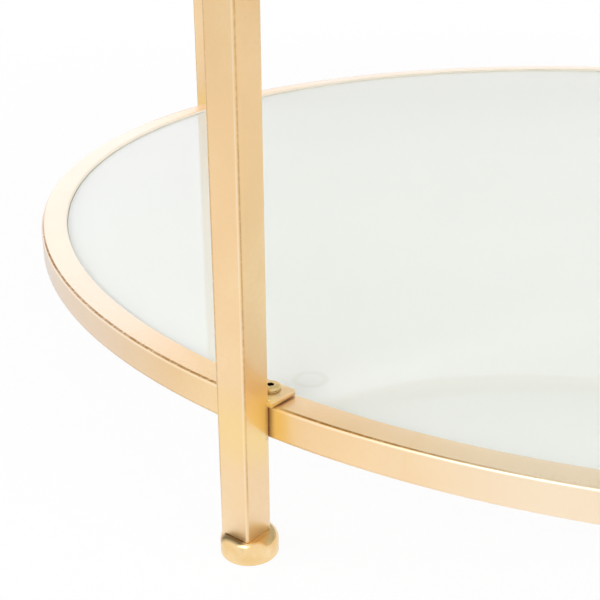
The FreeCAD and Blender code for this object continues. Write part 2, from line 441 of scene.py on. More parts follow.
def metal(name, light, dark, rough, marks, depth):
    """A plated or polished metal with cloudy tone and fine marks."""
    plate = new_finish(name)
    spot = plate.add("ShaderNodeTexCoord")["Object"]
    along = plate.add("ShaderNodeUVMap", {"uv_map": "unrolled"})["UV"]
    cloud = plate.noise(spot, 90.0, 3.0)
    line = plate.noise(plate.stretched(along, *marks), 1.0, 3.0)
    speck = plate.noise(spot, 900.0)
    painted_shade = plate.add("ShaderNodeAttribute", {"attribute_name": "edge"})["Fac"]
    tone = plate.mix(cloud.ease(0.3, 0.7), light, dark)
    # Painted shade: dark brown where the edge number is above 0.
    tone = plate.mix(painted_shade * SHADE_SHARE, tone, METAL_SHADE)
    relief = line * 0.6 + speck * 0.4
    bump = plate.add("ShaderNodeBump", None, {"Strength": depth, "Distance": 0.4 * MM, "Height": relief})
    shader = plate.add("ShaderNodeBsdfPrincipled", None, {
        "Base Color": tone,
        "Metallic": 1.0,
        "Roughness": rough + cloud * 0.07 + line * 0.05,
        "Normal": bump["Normal"],
    })
    return plate.surface(shader["BSDF"])


def moulded_black():
    black = new_finish("black_plastic")
    spot = black.add("ShaderNodeTexCoord")["Object"]
    pits = black.noise(spot, 1600.0)
    cloud = black.noise(spot, 60.0)
    bump = black.add("ShaderNodeBump", None, {"Strength": 0.2, "Distance": 0.3 * MM, "Height": pits})
    shader = black.add("ShaderNodeBsdfPrincipled", None, {
        "Base Color": black.mix(cloud, BLACK_DEEP, BLACK_PALE),
        "Roughness": 0.45 + pits * 0.15,
        "Normal": bump["Normal"],
    })
    return black.surface(shader["BSDF"])


POLISHED_GOLD = metal(
    "polished_gold", light=(0.97, 0.73, 0.42, 1), dark=(0.90, 0.62, 0.29, 1),
    rough=0.15, marks=(20.0, 2200.0), depth=0.03)
SCREW_BRASS = metal(
    "screw_brass", light=(0.80, 0.60, 0.30, 1), dark=(0.66, 0.45, 0.18, 1),
    rough=0.12, marks=(300.0, 900.0), depth=0.05)
ZINC_STEEL = metal(
    "zinc_steel", light=(0.62, 0.62, 0.60, 1), dark=(0.50, 0.50, 0.47, 1),
    rough=0.30, marks=(300.0, 900.0), depth=0.08)
BLACK_PLASTIC = moulded_black()
print("made", [finish.name for finish in (POLISHED_GOLD, SCREW_BRASS, ZINC_STEEL, BLACK_PLASTIC)])

# %% [markdown]
# The panes are pale, faintly green glass, smooth on top and frosted below, so what lies under
# them hardly shows. A milky body with some rough see-through gives that, and a clear coat
# gives the sharp reflection of the legs on the smooth side. The bumpers are soft clear pads,
# and where they touch the glass from below, their rims show through as faint rings.

# %% Milky glass and clear bumpers
PAD_HALF = 7.0 * MM
PAD_INSET = 18.0 * MM
PAD_SHIFT = 3.5 * MM
PAD_RIM = (0.3 * MM, 2.2 * MM)
GLASS_DEEP = (0.93, 0.955, 0.91, 1)
GLASS_PALE = (0.95, 0.97, 0.94, 1)
GROUND_RIM = (0.86, 0.91, 0.85, 1)
TOUCH_MARK = (0.72, 0.70, 0.56, 1)
TOUCH_SHARE = 0.2
PAD_DEEP = (0.86, 0.85, 0.78, 1)
PAD_PALE = (0.90, 0.89, 0.84, 1)


def nearest_pad(glass, spot):
    """How far a point is from the middle of the nearest bumper, seen from above."""
    split = glass.add("ShaderNodeSeparateXYZ", None, {"Vector": spot})
    near = 1.0
    for angle in LEGS.values():
        out, side = math.cos(math.radians(angle)), math.sin(math.radians(angle))
        x = (RING_INNER - PAD_INSET) * out - PAD_SHIFT * side
        y = (RING_INNER - PAD_INSET) * side + PAD_SHIFT * out
        near = length(split["X"] - x, split["Y"] - y).least(near)
    return near


def milky_glass():
    glass = new_finish("frosted_glass")
    spot = glass.add("ShaderNodeTexCoord")["Object"]
    cloud = glass.noise(spot, 5.0)
    edge = glass.add("ShaderNodeAttribute", {"attribute_name": "edge"})["Fac"]
    body = glass.mix(cloud, GLASS_DEEP, GLASS_PALE)
    body = glass.mix(edge, body, GROUND_RIM)
    touch = 1 - (nearest_pad(glass, spot) - PAD_HALF).size().ease(*PAD_RIM)
    body = glass.mix(touch * TOUCH_SHARE, body, TOUCH_MARK)
    shader = glass.add("ShaderNodeBsdfPrincipled", None, {
        "Base Color": body,
        "Roughness": 0.50 + cloud * 0.04,
        "IOR": 1.5,
        "Specular IOR Level": 0.2,
        "Transmission Weight": 0.25,
        "Coat Weight": 1.0,
        "Coat Roughness": 0.015,
        "Coat IOR": 1.52,
    })
    return glass.surface(shader["BSDF"])


def clear_bumper():
    pad = new_finish("clear_bumper")
    spot = pad.add("ShaderNodeTexCoord")["Object"]
    cloud = pad.noise(spot, 240.0)
    shader = pad.add("ShaderNodeBsdfPrincipled", None, {
        "Base Color": pad.mix(cloud, PAD_DEEP, PAD_PALE),
        "Roughness": 0.22 + cloud * 0.1,
        "IOR": 1.45,
        "Transmission Weight": 0.3,
    })
    return pad.surface(shader["BSDF"])


MILKY_GLASS = milky_glass()
CLEAR_BUMPER = clear_bumper()
print("made", MILKY_GLASS.name, CLEAR_BUMPER.name)

# %% [markdown]
# Nearly every piece here is either turned on a lathe or cut from bar and plate. Both can be
# made as a grid of points, row by row, which is then skinned with four-sided faces. The same
# grid gives the unrolled map in metres, and one number per row or per point marks the worn
# edges, the painted highlights and the painted shade.

# %% Skin a grid of points
SAME_POINT = 1e-7
SHARP_CORNER = math.radians(32.0)


def skin(name, rows, finish, around=True, ring=False, caps=False, edge=None):
    """A mesh through rows of points, with its map and its edge numbers of wear, painted highlight and
    painted shade.

    around closes each row, ring joins the last row to the first, caps closes both ends, and edge
    has one number for each row or for each point.
    """
    grid = np.asarray(rows, float)
    m, n = grid.shape[:2]
    wide = np.concatenate([grid, grid[:, :1]], 1) if around else grid
    tall = np.concatenate([wide, wide[:1]], 0) if ring else wide
    step_u = np.linalg.norm(np.diff(tall, axis=1), axis=2).max(0)
    step_v = np.linalg.norm(np.diff(tall, axis=0), axis=2).max(1)
    u = np.concatenate([[0.0], np.cumsum(step_u)])
    v = np.concatenate([[0.0], np.cumsum(step_v)])
    faces = []
    corners = []
    for i in range(len(v) - 1):
        for j in range(len(u) - 1):
            a, b = i % m, (i + 1) % m
            c, d = j % n, (j + 1) % n
            faces.append((a * n + c, a * n + d, b * n + d, b * n + c))
            corners += [(u[j], v[i]), (u[j + 1], v[i]), (u[j + 1], v[i + 1]), (u[j], v[i + 1])]
    if caps:
        flat = [tuple(range(n))[::-1], tuple((m - 1) * n + j for j in range(n))]
        for face in flat:
            faces.append(face)
            middle = grid.reshape(-1, 3)[list(face)].mean(0)
            corners += [tuple((grid.reshape(-1, 3)[k] - middle)[:2]) for k in face]
    mesh = bpy.data.meshes.new(name)
    mesh.from_pydata([tuple(p) for p in grid.reshape(-1, 3)], [], faces)
    unrolled = mesh.uv_layers.new(name="unrolled")
    unrolled.uv.foreach_set("vector", np.asarray(corners, np.float32).ravel())
    worn = np.zeros((m, n)) if edge is None else np.asarray(edge, float)
    if worn.ndim == 1:
        worn = np.repeat(worn[:, None], n, 1)
    marks = mesh.attributes.new("edge", "FLOAT", "POINT")
    marks.data.foreach_set("value", worn.ravel().astype(np.float32))
    return finished(name, mesh, finish)


def finished(name, mesh, finish):
    """Outward faces, smooth shading with sharp corners, the finish, and an object in the scene."""
    work = bmesh.new()
    work.from_mesh(mesh)
    bmesh.ops.remove_doubles(work, verts=work.verts, dist=SAME_POINT)
    bmesh.ops.recalc_face_normals(work, faces=work.faces)
    work.to_mesh(mesh)
    work.free()
    mesh.polygons.foreach_set("use_smooth", [True] * len(mesh.polygons))
    mesh.set_sharp_from_angle(angle=SHARP_CORNER)
    mesh.materials.append(finish)
    piece = bpy.data.objects.new(name, mesh)
    bpy.context.scene.collection.objects.link(piece)
    return piece


print("skin ready, corners over", round(math.degrees(SHARP_CORNER)), "degrees stay sharp")

# %% [markdown]
# Three helpers draw the points of those grids: one swings a profile round an upright line, as
# a lathe does, one gives the round corners in the profile, and one turns a piece drawn on the
# +X side to each leg's place. The last helper ties a finished piece to its body and hides the
# CAD solid that it stands for.

# %% Draw, turn and place
def arc(cx, cz, radius, start, stop, steps):
    """Points along an arc between two angles in degrees."""
    angles = np.radians(np.linspace(start, stop, steps + 1))
    return [(cx + radius * math.cos(a), cz + radius * math.sin(a)) for a in angles]


def turn(profile, segments, centre=(0.0, 0.0)):
    """Rows of points: each profile point (radius, height) swung round an upright line."""
    angles = np.arange(segments) * 2 * math.pi / segments
    spin = np.stack([np.cos(angles), np.sin(angles)], 1)
    rows = []
    for radius, height in profile:
        flat = spin * radius + np.asarray(centre)
        rows.append(np.column_stack([flat, np.full(segments, height)]))
    return np.asarray(rows)


def around_leg(points, angle):
    """Points drawn on the +X side, turned to a leg's place."""
    a = math.radians(angle)
    spin = np.array([[math.cos(a), math.sin(a), 0], [-math.sin(a), math.cos(a), 0], [0, 0, 1]])
    return np.asarray(points, float) @ spin


def place(piece, body, slot, *nodes):
    """Tie a piece to its body, and hide the CAD nodes whose place it takes."""
    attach(piece, body)
    if nodes:
        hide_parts(*nodes)
    return piece


print("drawing helpers ready")

# %% [markdown]
# A ring is square tube rolled into a circle and welded shut. Its section is a square with
# small round corners, swung round the middle of the table. A curve with a bevel could make it,
# but the rows of a grid can also carry the number that wears the leaf and paints highlights on
# it, most on the outer top corner: a rubbed line above and a painted highlight line below. One
# more row on the flat, just past each corner, ends the rubbed line there. Some five hundred
# steps keep the outline smooth.

# %% Make the rings
RING_EDGE = 1.5 * MM
RING_STEPS = 512
CORNER_STEPS = 8
CORNER_WEAR_AND_HIGHLIGHT = {45: 1.0, 135: 0.05, 225: 0.3, 315: 0.3}
RUB_REACH = 0.55 * MM
RUB_START = 0.45
RUB_RISE = 0.25
WEAR_PEAK = math.radians(212.0)


def edge_wear_and_highlight():
    """Numbers across a round edge and past it: a painted highlight in its first half, rubbed in its
    second.
    """
    across = np.linspace(0.0, 1.0, CORNER_STEPS + 1)
    painted_highlight = np.where(across < 0.5, np.sin(2 * math.pi * across), 0.0)
    rubbed = np.clip((across - RUB_START) / RUB_RISE, 0.0, 1.0)
    return np.append(rubbed - painted_highlight, 0.0)


def round_corner(cx, cz, radius, start):
    """A quarter circle from the start angle, and one more point on the flat that follows it."""
    points = arc(cx, cz, radius, start, start + 90, CORNER_STEPS)
    end = math.radians(start + 90)
    x, z = points[-1]
    return points + [(x - RUB_REACH * math.sin(end), z + RUB_REACH * math.cos(end))]


def tube_corners(half, edge):
    """Section points (across, up) round a square with round corners, and each one's wear or painted
    highlight.
    """
    points = []
    wear_and_highlight = []
    flat = half - edge
    for middle in (45, 135, 225, 315):
        sx = 1 if middle in (45, 315) else -1
        sz = 1 if middle in (45, 135) else -1
        points += round_corner(sx * flat, sz * flat, edge, middle - 45)
        wear_and_highlight += list(CORNER_WEAR_AND_HIGHLIGHT[middle] * edge_wear_and_highlight())
    return points, wear_and_highlight


def worn_by_turns(wear_and_highlight):
    """Spread each row's wear round the ring: most a little before each leg and least after it."""
    angles = np.arange(RING_STEPS) * 2 * math.pi / RING_STEPS
    wave = 0.5 + 0.5 * np.cos(len(LEGS) * (angles - WEAR_PEAK))
    grid = np.repeat(np.asarray(wear_and_highlight)[:, None], RING_STEPS, 1)
    return np.where(grid > 0, grid * wave, grid)


for tier in TIERS:
    section, wear_and_highlight = tube_corners(TUBE / 2, RING_EDGE)
    height = RING_TOP[tier] - TUBE / 2
    profile = [(RING_MIDDLE + x, height + z) for x, z in section]
    worn = worn_by_turns(wear_and_highlight)
    tube = skin(tier + "_ring_tube", turn(profile, RING_STEPS), GOLD_LEAF, ring=True, edge=worn)
    place(tube, "frame", "gold_leaf", tier + "_ring")
    print(tube.name, len(tube.data.vertices), "points")

# %% [markdown]
# Each pane is a disc with a small ground bevel, or arris, round both rims. It lies a little
# below the ring's top and can be lifted out, so it rides on its own body. The ground rim looks
# darker and greener than the face, and the edge number marks it. One more row on the upper
# face ends that tone close to the rim.

# %% Make the panes
ARRIS = 0.25 * MM
GLASS_GAP = 0.12 * MM
RIM_TONE = 3 * MM
PANE_RIM = (0, 0.5, 1, 1, 0.5, 0, 0)

for tier in TIERS:
    low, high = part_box(tier + "_glass")
    radius = RING_INNER - GLASS_GAP
    profile = [(0.0, low.z), (radius - ARRIS, low.z), (radius, low.z + ARRIS)]
    profile += [(radius, high.z - ARRIS), (radius - ARRIS, high.z)]
    profile += [(radius - RIM_TONE, high.z), (0.0, high.z)]
    pane = skin(tier + "_pane", turn(profile, RING_STEPS), MILKY_GLASS, edge=PANE_RIM)
    place(pane, tier + "_glass", "frosted_glass", tier + "_glass")
    print(pane.name, "radius", round(radius, 4))

# %% [markdown]
# Legs, caps, brackets and supports are cut from bar and plate: an outline that is pulled up
# straight, with a small bevel where its top and bottom meet the sides. A Bevel modifier would
# round every edge alike, so the bevel's rows are written out, and each row can have its wear or
# its painted highlight.

# %% Cut bar and plate
BEVEL_MIDDLE = 0.3


def outline(x0, x1, half, corners):
    """A rectangle's outline with a round at each corner, as points (x, y) anticlockwise."""
    spots = ((x1, half, 0), (x0, half, 90), (x0, -half, 180), (x1, -half, 270))
    points = []
    for (x, y, start), radius in zip(spots, corners):
        sx = 1 if start in (0, 270) else -1
        sy = 1 if start in (0, 90) else -1
        points += round_corner(x - sx * radius, y - sy * radius, radius, start)
    return np.asarray(points)


def drawn_in(points, amount):
    """The outline moved inwards by an amount."""
    before = np.roll(points, 1, 0)
    after = np.roll(points, -1, 0)
    along = after - before
    inward = np.column_stack([-along[:, 1], along[:, 0]])
    inward /= np.linalg.norm(inward, axis=1)[:, None]
    return points + inward * amount


def slab(points, z0, z1, bevel):
    """Rows from the bottom face up to the top face of a plate or bar."""
    middle = BEVEL_MIDDLE * bevel
    steps = [(bevel, z0), (middle, z0 + middle), (0.0, z0 + bevel)]
    steps += [(0.0, z1 - bevel), (middle, z1 - middle), (bevel, z1)]
    rows = []
    for inset, height in steps:
        flat = drawn_in(points, inset) if inset else points
        rows.append(np.column_stack([flat, np.full(len(points), height)]))
    return np.asarray(rows)


print("bar and plate helpers ready")

# %% [markdown]
# Each leg is a straight piece of the same square tube, closed by a thin cap. A fine seam shows
# where the two meet, because both have a small bevel there. The leaf is less rubbed on the
# legs' edges than on the rings, so the positive part of the wear is scaled down.

# %% Make the legs and their caps
LEG_EDGE = 1.2 * MM
LEG_RUB = 0.34
SEAM = 0.35 * MM

for leg, angle in LEGS.items():
    square = outline(LEG_MIDDLE - TUBE / 2, LEG_MIDDLE + TUBE / 2, TUBE / 2, [LEG_EDGE] * 4)
    low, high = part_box("leg_" + leg)
    wear_and_highlight = np.tile(edge_wear_and_highlight(), 4)
    wear_and_highlight[wear_and_highlight > 0] *= LEG_RUB
    rows = around_leg(slab(square, low.z, high.z, SEAM), angle)
    bar = skin("leg_tube_" + leg, rows, GOLD_LEAF, caps=True, edge=np.tile(wear_and_highlight, (len(rows), 1)))
    place(bar, "frame", "gold_leaf", "leg_" + leg)
    low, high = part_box("leg_cap_" + leg)
    rows = around_leg(slab(square, low.z, high.z, SEAM), angle)
    cap = skin("leg_end_" + leg, rows, GOLD_LEAF, caps=True)
    place(cap, "frame", "gold_leaf", "leg_cap_" + leg)
print("made", len(LEGS), "legs with caps")

# %% [markdown]
# A weld is a bead of melted metal with fine ripples: a round section carried along the joint,
# a little thicker and thinner by turns, and drawn to a point at both ends. It is one more grid
# of points, so it gets the leaf's map like the rest.

# %% Draw a weld bead
BEAD = 1.1 * MM
BEAD_STEPS = 80
BEAD_SIDES = 16
BEAD_TAPER = 1.5 * BEAD
RIPPLE_LONG = 1.6 * MM
RIPPLE_SHARE = 0.10
UPWARD = np.array([0.0, 0.0, 1.0])


def bead_rows(corners):
    """Rows of a weld bead along a line through the corners."""
    corners = np.asarray(corners, float)
    steps = np.linalg.norm(np.diff(corners, axis=0), axis=1)
    lengths = np.concatenate([[0.0], np.cumsum(steps)])
    places = np.linspace(0.0, lengths[-1], BEAD_STEPS)
    line = np.stack([np.interp(places, lengths, corners[:, k]) for k in range(3)], 1)
    line[1:-1] = (line[:-2] + line[1:-1] + line[2:]) / 3
    side = np.cross(np.gradient(line, axis=0), UPWARD)
    side /= np.linalg.norm(side, axis=1)[:, None]
    to_end = np.minimum(places, lengths[-1] - places)
    taper = np.sqrt(np.clip(to_end / BEAD_TAPER, 0.0, 1.0))
    radius = BEAD * taper * (1.0 + RIPPLE_SHARE * np.sin(places * 2 * math.pi / RIPPLE_LONG))
    rows = []
    for angle in np.linspace(0, 2 * math.pi, BEAD_SIDES + 1)[:-1]:
        reach = radius[:, None] * (math.cos(angle) * side + math.sin(angle) * UPWARD)
        rows.append(line + reach)
    return np.transpose(rows, (1, 0, 2))


print("weld beads", BEAD, "m thick from the middle")

# %% [markdown]
# The brackets are flat plates welded to the legs a little to one side of the middle, so a
# narrow lip of each stands out beside its leg. The supports are welded to the rings' inner
# walls under the panes. The top tier's brackets lie under the ring and are the shelf's
# mirrored, so that the table's top is clear.

# %% Make the brackets, glass supports and welds
PLATE_CORNER = 1.5 * MM
PLATE_EDGE = 0.4 * MM
# The lower bevel rows are darkened brown and the upper bevel gets a painted highlight.
PLATE_BEVEL_TONES = (0.5, 1.0, 0.4, 0.0, -0.8, 0.0)
SHARP = 0.05 * MM
PLATE_CORNERS = (SHARP, PLATE_CORNER, PLATE_CORNER, SHARP)
BRACKET_HALF = 9.0 * MM
BRACKET_SHIFT = 2.0 * MM
BRACKET_LIP = 2.0 * MM
BRACKET_START = RING_INNER + 1.0 * MM
SUPPORT_HALF = 11.0 * MM
SUPPORT_START = RING_INNER - 26.0 * MM
WELD_OFF = 0.2 * MM
WELD_BELOW = 0.7 * MM
WELD_MARGIN = 0.5 * MM
WELD_BEND = (0.6 * MM, 0.3 * MM)
WELD_TIP = 0.3 * MM
WALL_OFF = 0.1 * MM
WALL_POINTS = 9


def bracket_plan(shift):
    """The bracket's outline: a plate that ends at the leg, with a narrow lip beside it."""
    plan = outline(BRACKET_START, RING_OUTER, BRACKET_HALF, PLATE_CORNERS)
    beside = TUBE / 2 - BRACKET_SHIFT
    tip = RING_OUTER + BRACKET_LIP
    lip = [(RING_OUTER, beside), (tip, beside), (tip, BRACKET_HALF)]
    plan = np.concatenate([lip, plan[CORNER_STEPS + 1:]])
    if shift < 0:
        plan = plan[::-1] * np.array([1.0, -1.0])
    return plan + np.array([0.0, shift])


def bracket_weld(z, shift):
    """The line along the leg's inner face and round the corner beside the leg."""
    past = math.copysign(1.0, shift)
    near = shift - past * (BRACKET_HALF - WELD_MARGIN)
    inside = RING_OUTER - WELD_OFF
    beside = past * (TUBE / 2 + WELD_OFF)
    before, after = WELD_BEND
    return [
        (inside, near, z),
        (inside, past * (TUBE / 2 - before), z),
        (RING_OUTER + after, beside, z),
        (RING_OUTER + BRACKET_LIP - WELD_TIP, beside, z),
    ]


def support_weld(z):
    """The line along the ring's inner wall."""
    sides = np.linspace(-SUPPORT_HALF, SUPPORT_HALF, WALL_POINTS)
    return [(math.sqrt(RING_INNER ** 2 - y ** 2) - WALL_OFF, y, z) for y in sides]


for tier in TIERS:
    shift = BRACKET_SHIFT if tier == "shelf" else -BRACKET_SHIFT
    for leg, angle in LEGS.items():
        low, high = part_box(tier + "_bracket_" + leg)
        rows = around_leg(slab(bracket_plan(shift), low.z, high.z, PLATE_EDGE), angle)
        plate = skin(tier + "_bracket_plate_" + leg, rows, GOLD_LEAF, caps=True, edge=PLATE_BEVEL_TONES)
        place(plate, "frame", "gold_leaf", tier + "_bracket_" + leg)
        face = high.z - WELD_BELOW if tier == "shelf" else low.z + WELD_BELOW
        rows = around_leg(bead_rows(bracket_weld(face, shift)), angle)
        weld = skin(tier + "_bracket_weld_" + leg, rows, GOLD_LEAF)
        place(weld, "frame", "gold_leaf")
        low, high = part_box(tier + "_glass_support_" + leg)
        plan = outline(SUPPORT_START, RING_INNER, SUPPORT_HALF, PLATE_CORNERS)
        rows = around_leg(slab(plan, low.z, high.z, PLATE_EDGE), angle)
        plate = skin(tier + "_glass_support_plate_" + leg, rows, GOLD_LEAF, caps=True)
        place(plate, "frame", "gold_leaf", tier + "_glass_support_" + leg)
        rows = around_leg(bead_rows(support_weld(low.z)), angle)
        weld = skin(tier + "_support_weld_" + leg, rows, GOLD_LEAF)
        place(weld, "frame", "gold_leaf")
print("made", 2 * len(TIERS) * len(LEGS), "plates and as many welds")

# %% [markdown]
# The screws have a low, flat head with a round shoulder, a groove above its washer face and a
# hexagon socket. A Boolean could cut the socket, but loops of points leave cleaner faces: they
# are round at the rim and the crown, then six-sided where the socket goes down. Painted shade
# darkens them under the head, in the groove and in the socket. A top screw is the same piece turned
# over.
# The four of a tier are joined into one object, because the CAD keeps them as one node.

# %% Make the screws
HEAD_HALF = 4.75 * MM
HEAD_HIGH = 2.5 * MM
HEAD_RIM = 1.1 * MM
CROWN_HALF = 3.5 * MM
GROOVE = 0.22 * MM
SOCKET_HALF = 1.5 * MM
SOCKET_DEEP = 1.6 * MM
SOCKET_CHAMFER = 0.15 * MM
WASHER_EDGE = 0.1 * MM
SHANK_HALF = 2.5 * MM
SHANK_LONG = 12.0 * MM
SHANK_CHAMFER = 0.3 * MM
SCREW_SEGMENTS = 72
DOME_ROWS = 9
# Painted shade rows: under the head, in the groove and in the socket.
SHADED_ROWS = ((slice(3, 6), 0.8), (7, 1.0), (slice(-3, None), 1.0))


def hexagon(angle):
    """How far a hexagon's side is from its middle in a direction, for a half width of 1."""
    return 1.0 / math.cos((angle + math.pi / 6) % (math.pi / 3) - math.pi / 6)


def screw_rows():
    """Rows of a screw whose head stands on z = 0, its shank below."""
    dome = []
    for step in np.linspace(0, 1, DOME_ROWS):
        lean = step * math.pi / 2
        radius = CROWN_HALF + (HEAD_HALF - CROWN_HALF) * math.cos(lean)
        dome.append((radius, HEAD_RIM + (HEAD_HIGH - HEAD_RIM) * math.sin(lean)))
    profile = [(0.0, -SHANK_LONG), (SHANK_HALF - SHANK_CHAMFER, -SHANK_LONG)]
    profile += [(SHANK_HALF, -SHANK_LONG + SHANK_CHAMFER), (SHANK_HALF, 0.0)]
    profile += [(HEAD_HALF - WASHER_EDGE, 0.0), (HEAD_HALF, WASHER_EDGE)]
    profile += [(HEAD_HALF, HEAD_RIM - 2 * GROOVE), (HEAD_HALF - GROOVE, HEAD_RIM - GROOVE)]
    rows = list(turn(profile + dome, SCREW_SEGMENTS))
    angles = np.arange(SCREW_SEGMENTS) * 2 * math.pi / SCREW_SEGMENTS
    reach = np.array([hexagon(a) for a in angles])
    ways = np.stack([np.cos(angles), np.sin(angles)], 1) * reach[:, None]
    floor = HEAD_HIGH - SOCKET_DEEP
    socket = [(SOCKET_HALF + SOCKET_CHAMFER, HEAD_HIGH), (SOCKET_HALF, HEAD_HIGH - SOCKET_CHAMFER)]
    socket += [(SOCKET_HALF, floor), (0.0, floor)]
    for half, height in socket:
        rows.append(np.column_stack([ways * half, np.full(SCREW_SEGMENTS, height)]))
    return np.asarray(rows)


def screw_shade():
    """One number for each row of a screw: how much painted shade darkens it."""
    painted_shade = np.zeros(len(screw_rows()))
    for rows, amount in SHADED_ROWS:
        painted_shade[rows] = amount
    return painted_shade


def joined(name, pieces, body, slot, node):
    """Copies of one small piece kept together as one object."""
    with bpy.context.temp_override(active_object=pieces[0], selected_editable_objects=pieces):
        bpy.ops.object.join()
    pieces[0].name = name
    return place(pieces[0], body, slot, node)


for tier in TIERS:
    way_up = -1.0 if tier == "top" else 1.0
    low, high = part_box(tier + "_bolts")
    seat = high.z - HEAD_HIGH if way_up > 0 else low.z + HEAD_HIGH
    copies = []
    for leg, angle in LEGS.items():
        moved = screw_rows() * np.array([1.0, way_up, way_up])
        moved = around_leg(moved + np.array([RING_MIDDLE, way_up * BRACKET_SHIFT, seat]), angle)
        copies.append(skin(tier + "_bolt_" + leg, moved, SCREW_BRASS, edge=screw_shade()))
    joined(tier + "_bolts_set", copies, "frame", "screw_brass", tier + "_bolts")
print("made", len(LEGS), "screws each for", TIERS)

# %% [markdown]
# The bumpers are small clear pads that lie on the supports and carry the panes. Each is turned
# like a coin with a round upper edge.

# %% Make the bumpers
PAD_EDGE = 0.6 * MM
PAD_EDGE_STEPS = 5
PAD_SEGMENTS = 48

for tier in TIERS:
    low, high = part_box(tier + "_bumpers")
    profile = [(0.0, low.z), (PAD_HALF, low.z)]
    profile += arc(PAD_HALF - PAD_EDGE, high.z - PAD_EDGE, PAD_EDGE, 0, 90, PAD_EDGE_STEPS)
    profile += [(0.0, high.z)]
    rows = turn(profile, PAD_SEGMENTS, (RING_INNER - PAD_INSET, PAD_SHIFT))
    copies = []
    for leg, angle in LEGS.items():
        copies.append(skin(tier + "_pad_" + leg, around_leg(rows, angle), CLEAR_BUMPER))
    joined(tier + "_bumper_pads", copies, "frame", "clear_bumper", tier + "_bumpers")
print("made", len(LEGS), "bumpers each for", TIERS)

# %% [markdown]
# A foot is a thick disc with a well rounded top edge, on a threaded stud that turns in the
# leg's plug. The thread is a real groove: each point's distance from the stud's middle
# depends on its height less its share of a turn. It shows only when the foot is turned out.
# A Screw modifier could make a thread too, but this way disc and stud stay one grid. Painted
# shade darkens the disc brown round the leg's end.

# %% Draw the feet
FOOT_HALF = 13.2 * MM
FOOT_HIGH = 11.0 * MM
FOOT_TOP_EDGE = 4.5 * MM
FOOT_BOTTOM_EDGE = 1.2 * MM
STUD_HALF = 3.0 * MM
THREAD_PITCH = 1.0 * MM
THREAD_DEEP = 0.5 * MM
THREAD_ROWS = 6
STUD_START = 0.2 * MM
STUD_CHAMFER = (0.9 * MM, 0.6 * MM)
FOOT_SEGMENTS = 96
FOOT_CENTRE = np.array([LEG_MIDDLE - 0.9 * MM, 1.1 * MM])
FOOT_SHADE_BAND = 3.0 * MM
FOOT_SHADE_FADE = 1.3 * MM
FOOT_SHADE_TURN = (1.0 * MM, 2.0 * MM)
FOOT_SHADE_CORNER = 3.0 * MM
FOOT_SHADE_INNER = 0.08
FOOT_SHADE_OUTER = 0.85


def stud_rows(z0, z1):
    """Rows of the threaded stud between two heights."""
    angles = np.arange(FOOT_SEGMENTS) * 2 * math.pi / FOOT_SEGMENTS
    rows = []
    for height in np.arange(z0, z1, THREAD_PITCH / THREAD_ROWS):
        phase = (height / THREAD_PITCH - angles / (2 * math.pi)) % 1.0
        radius = STUD_HALF - THREAD_DEEP * np.abs(2 * phase - 1)
        flat = np.stack([radius * np.cos(angles), radius * np.sin(angles)], 1) + FOOT_CENTRE
        rows.append(np.column_stack([flat, np.full(FOOT_SEGMENTS, height)]))
    return rows


def foot_shade(rows, base):
    """Painted shade on the foot round the leg's end, most on the outer side."""
    points = np.asarray(rows)
    out = points[..., 0] - LEG_MIDDLE
    side = points[..., 1]
    away = np.maximum(np.abs(out), np.abs(side)) - TUBE / 2
    band = np.clip((FOOT_SHADE_BAND - np.abs(away)) / FOOT_SHADE_FADE, 0.0, 1.0)
    start, width = FOOT_SHADE_TURN
    outer = np.clip((out - np.abs(side) + start) / width, 0.0, 1.0)
    corner = np.clip((TUBE / 2 - np.minimum(np.abs(out), np.abs(side))) / FOOT_SHADE_CORNER, 0.0, 1.0)
    high = points[..., 2] > base + FOOT_HIGH - FOOT_TOP_EDGE
    return band * corner * high * (FOOT_SHADE_INNER + FOOT_SHADE_OUTER * outer)


def foot_rows(base, tip):
    """Rows of a foot from the middle of its underside to the stud's tip."""
    profile = [(0.0, base)]
    profile += arc(FOOT_HALF - FOOT_BOTTOM_EDGE, base + FOOT_BOTTOM_EDGE, FOOT_BOTTOM_EDGE, -90, 0, 6)
    profile += arc(FOOT_HALF - FOOT_TOP_EDGE, base + FOOT_HIGH - FOOT_TOP_EDGE, FOOT_TOP_EDGE, 0, 90, 12)
    profile += [(STUD_HALF, base + FOOT_HIGH)]
    across, down = STUD_CHAMFER
    rows = list(turn(profile, FOOT_SEGMENTS, FOOT_CENTRE))
    rows += stud_rows(base + FOOT_HIGH + STUD_START, tip - down)
    rows += list(turn([(STUD_HALF - across, tip), (0.0, tip)], FOOT_SEGMENTS, FOOT_CENTRE))
    return rows


print("foot", 2 * FOOT_HALF, "m across on a thread with a pitch of", THREAD_PITCH, "m")

# %% [markdown]
# Each foot moves on its own, so each disc with its stud rides on its own body. The CAD box
# gives the heights of its underside and of the stud's tip.

# %% Make the feet
for leg, angle in LEGS.items():
    low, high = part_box("foot_" + leg)
    rows = foot_rows(low.z, high.z)
    # Painted shade on the disc round the leg's end.
    painted_shade = foot_shade(rows, low.z)
    disc = skin("foot_disc_" + leg, around_leg(rows, angle), POLISHED_GOLD, edge=painted_shade)
    place(disc, "foot_" + leg, "polished_gold", "foot_" + leg)
print("made", len(LEGS), "feet")

# %% [markdown]
# The plugs and rivet nuts are almost hidden, so their CAD solids stay and only get better
# finishes.

# %% Finish the CAD solids that stay
KEPT = {"black_plastic": BLACK_PLASTIC, "zinc_steel": ZINC_STEEL}
for part in frame["record"]["subparts"]:
    finish = KEPT.get(part["material_slot"])
    if finish:
        solid = frame["nodes"][part["node"]]
        solid.data.materials.clear()
        solid.data.materials.append(finish)
print("kept solids finished")

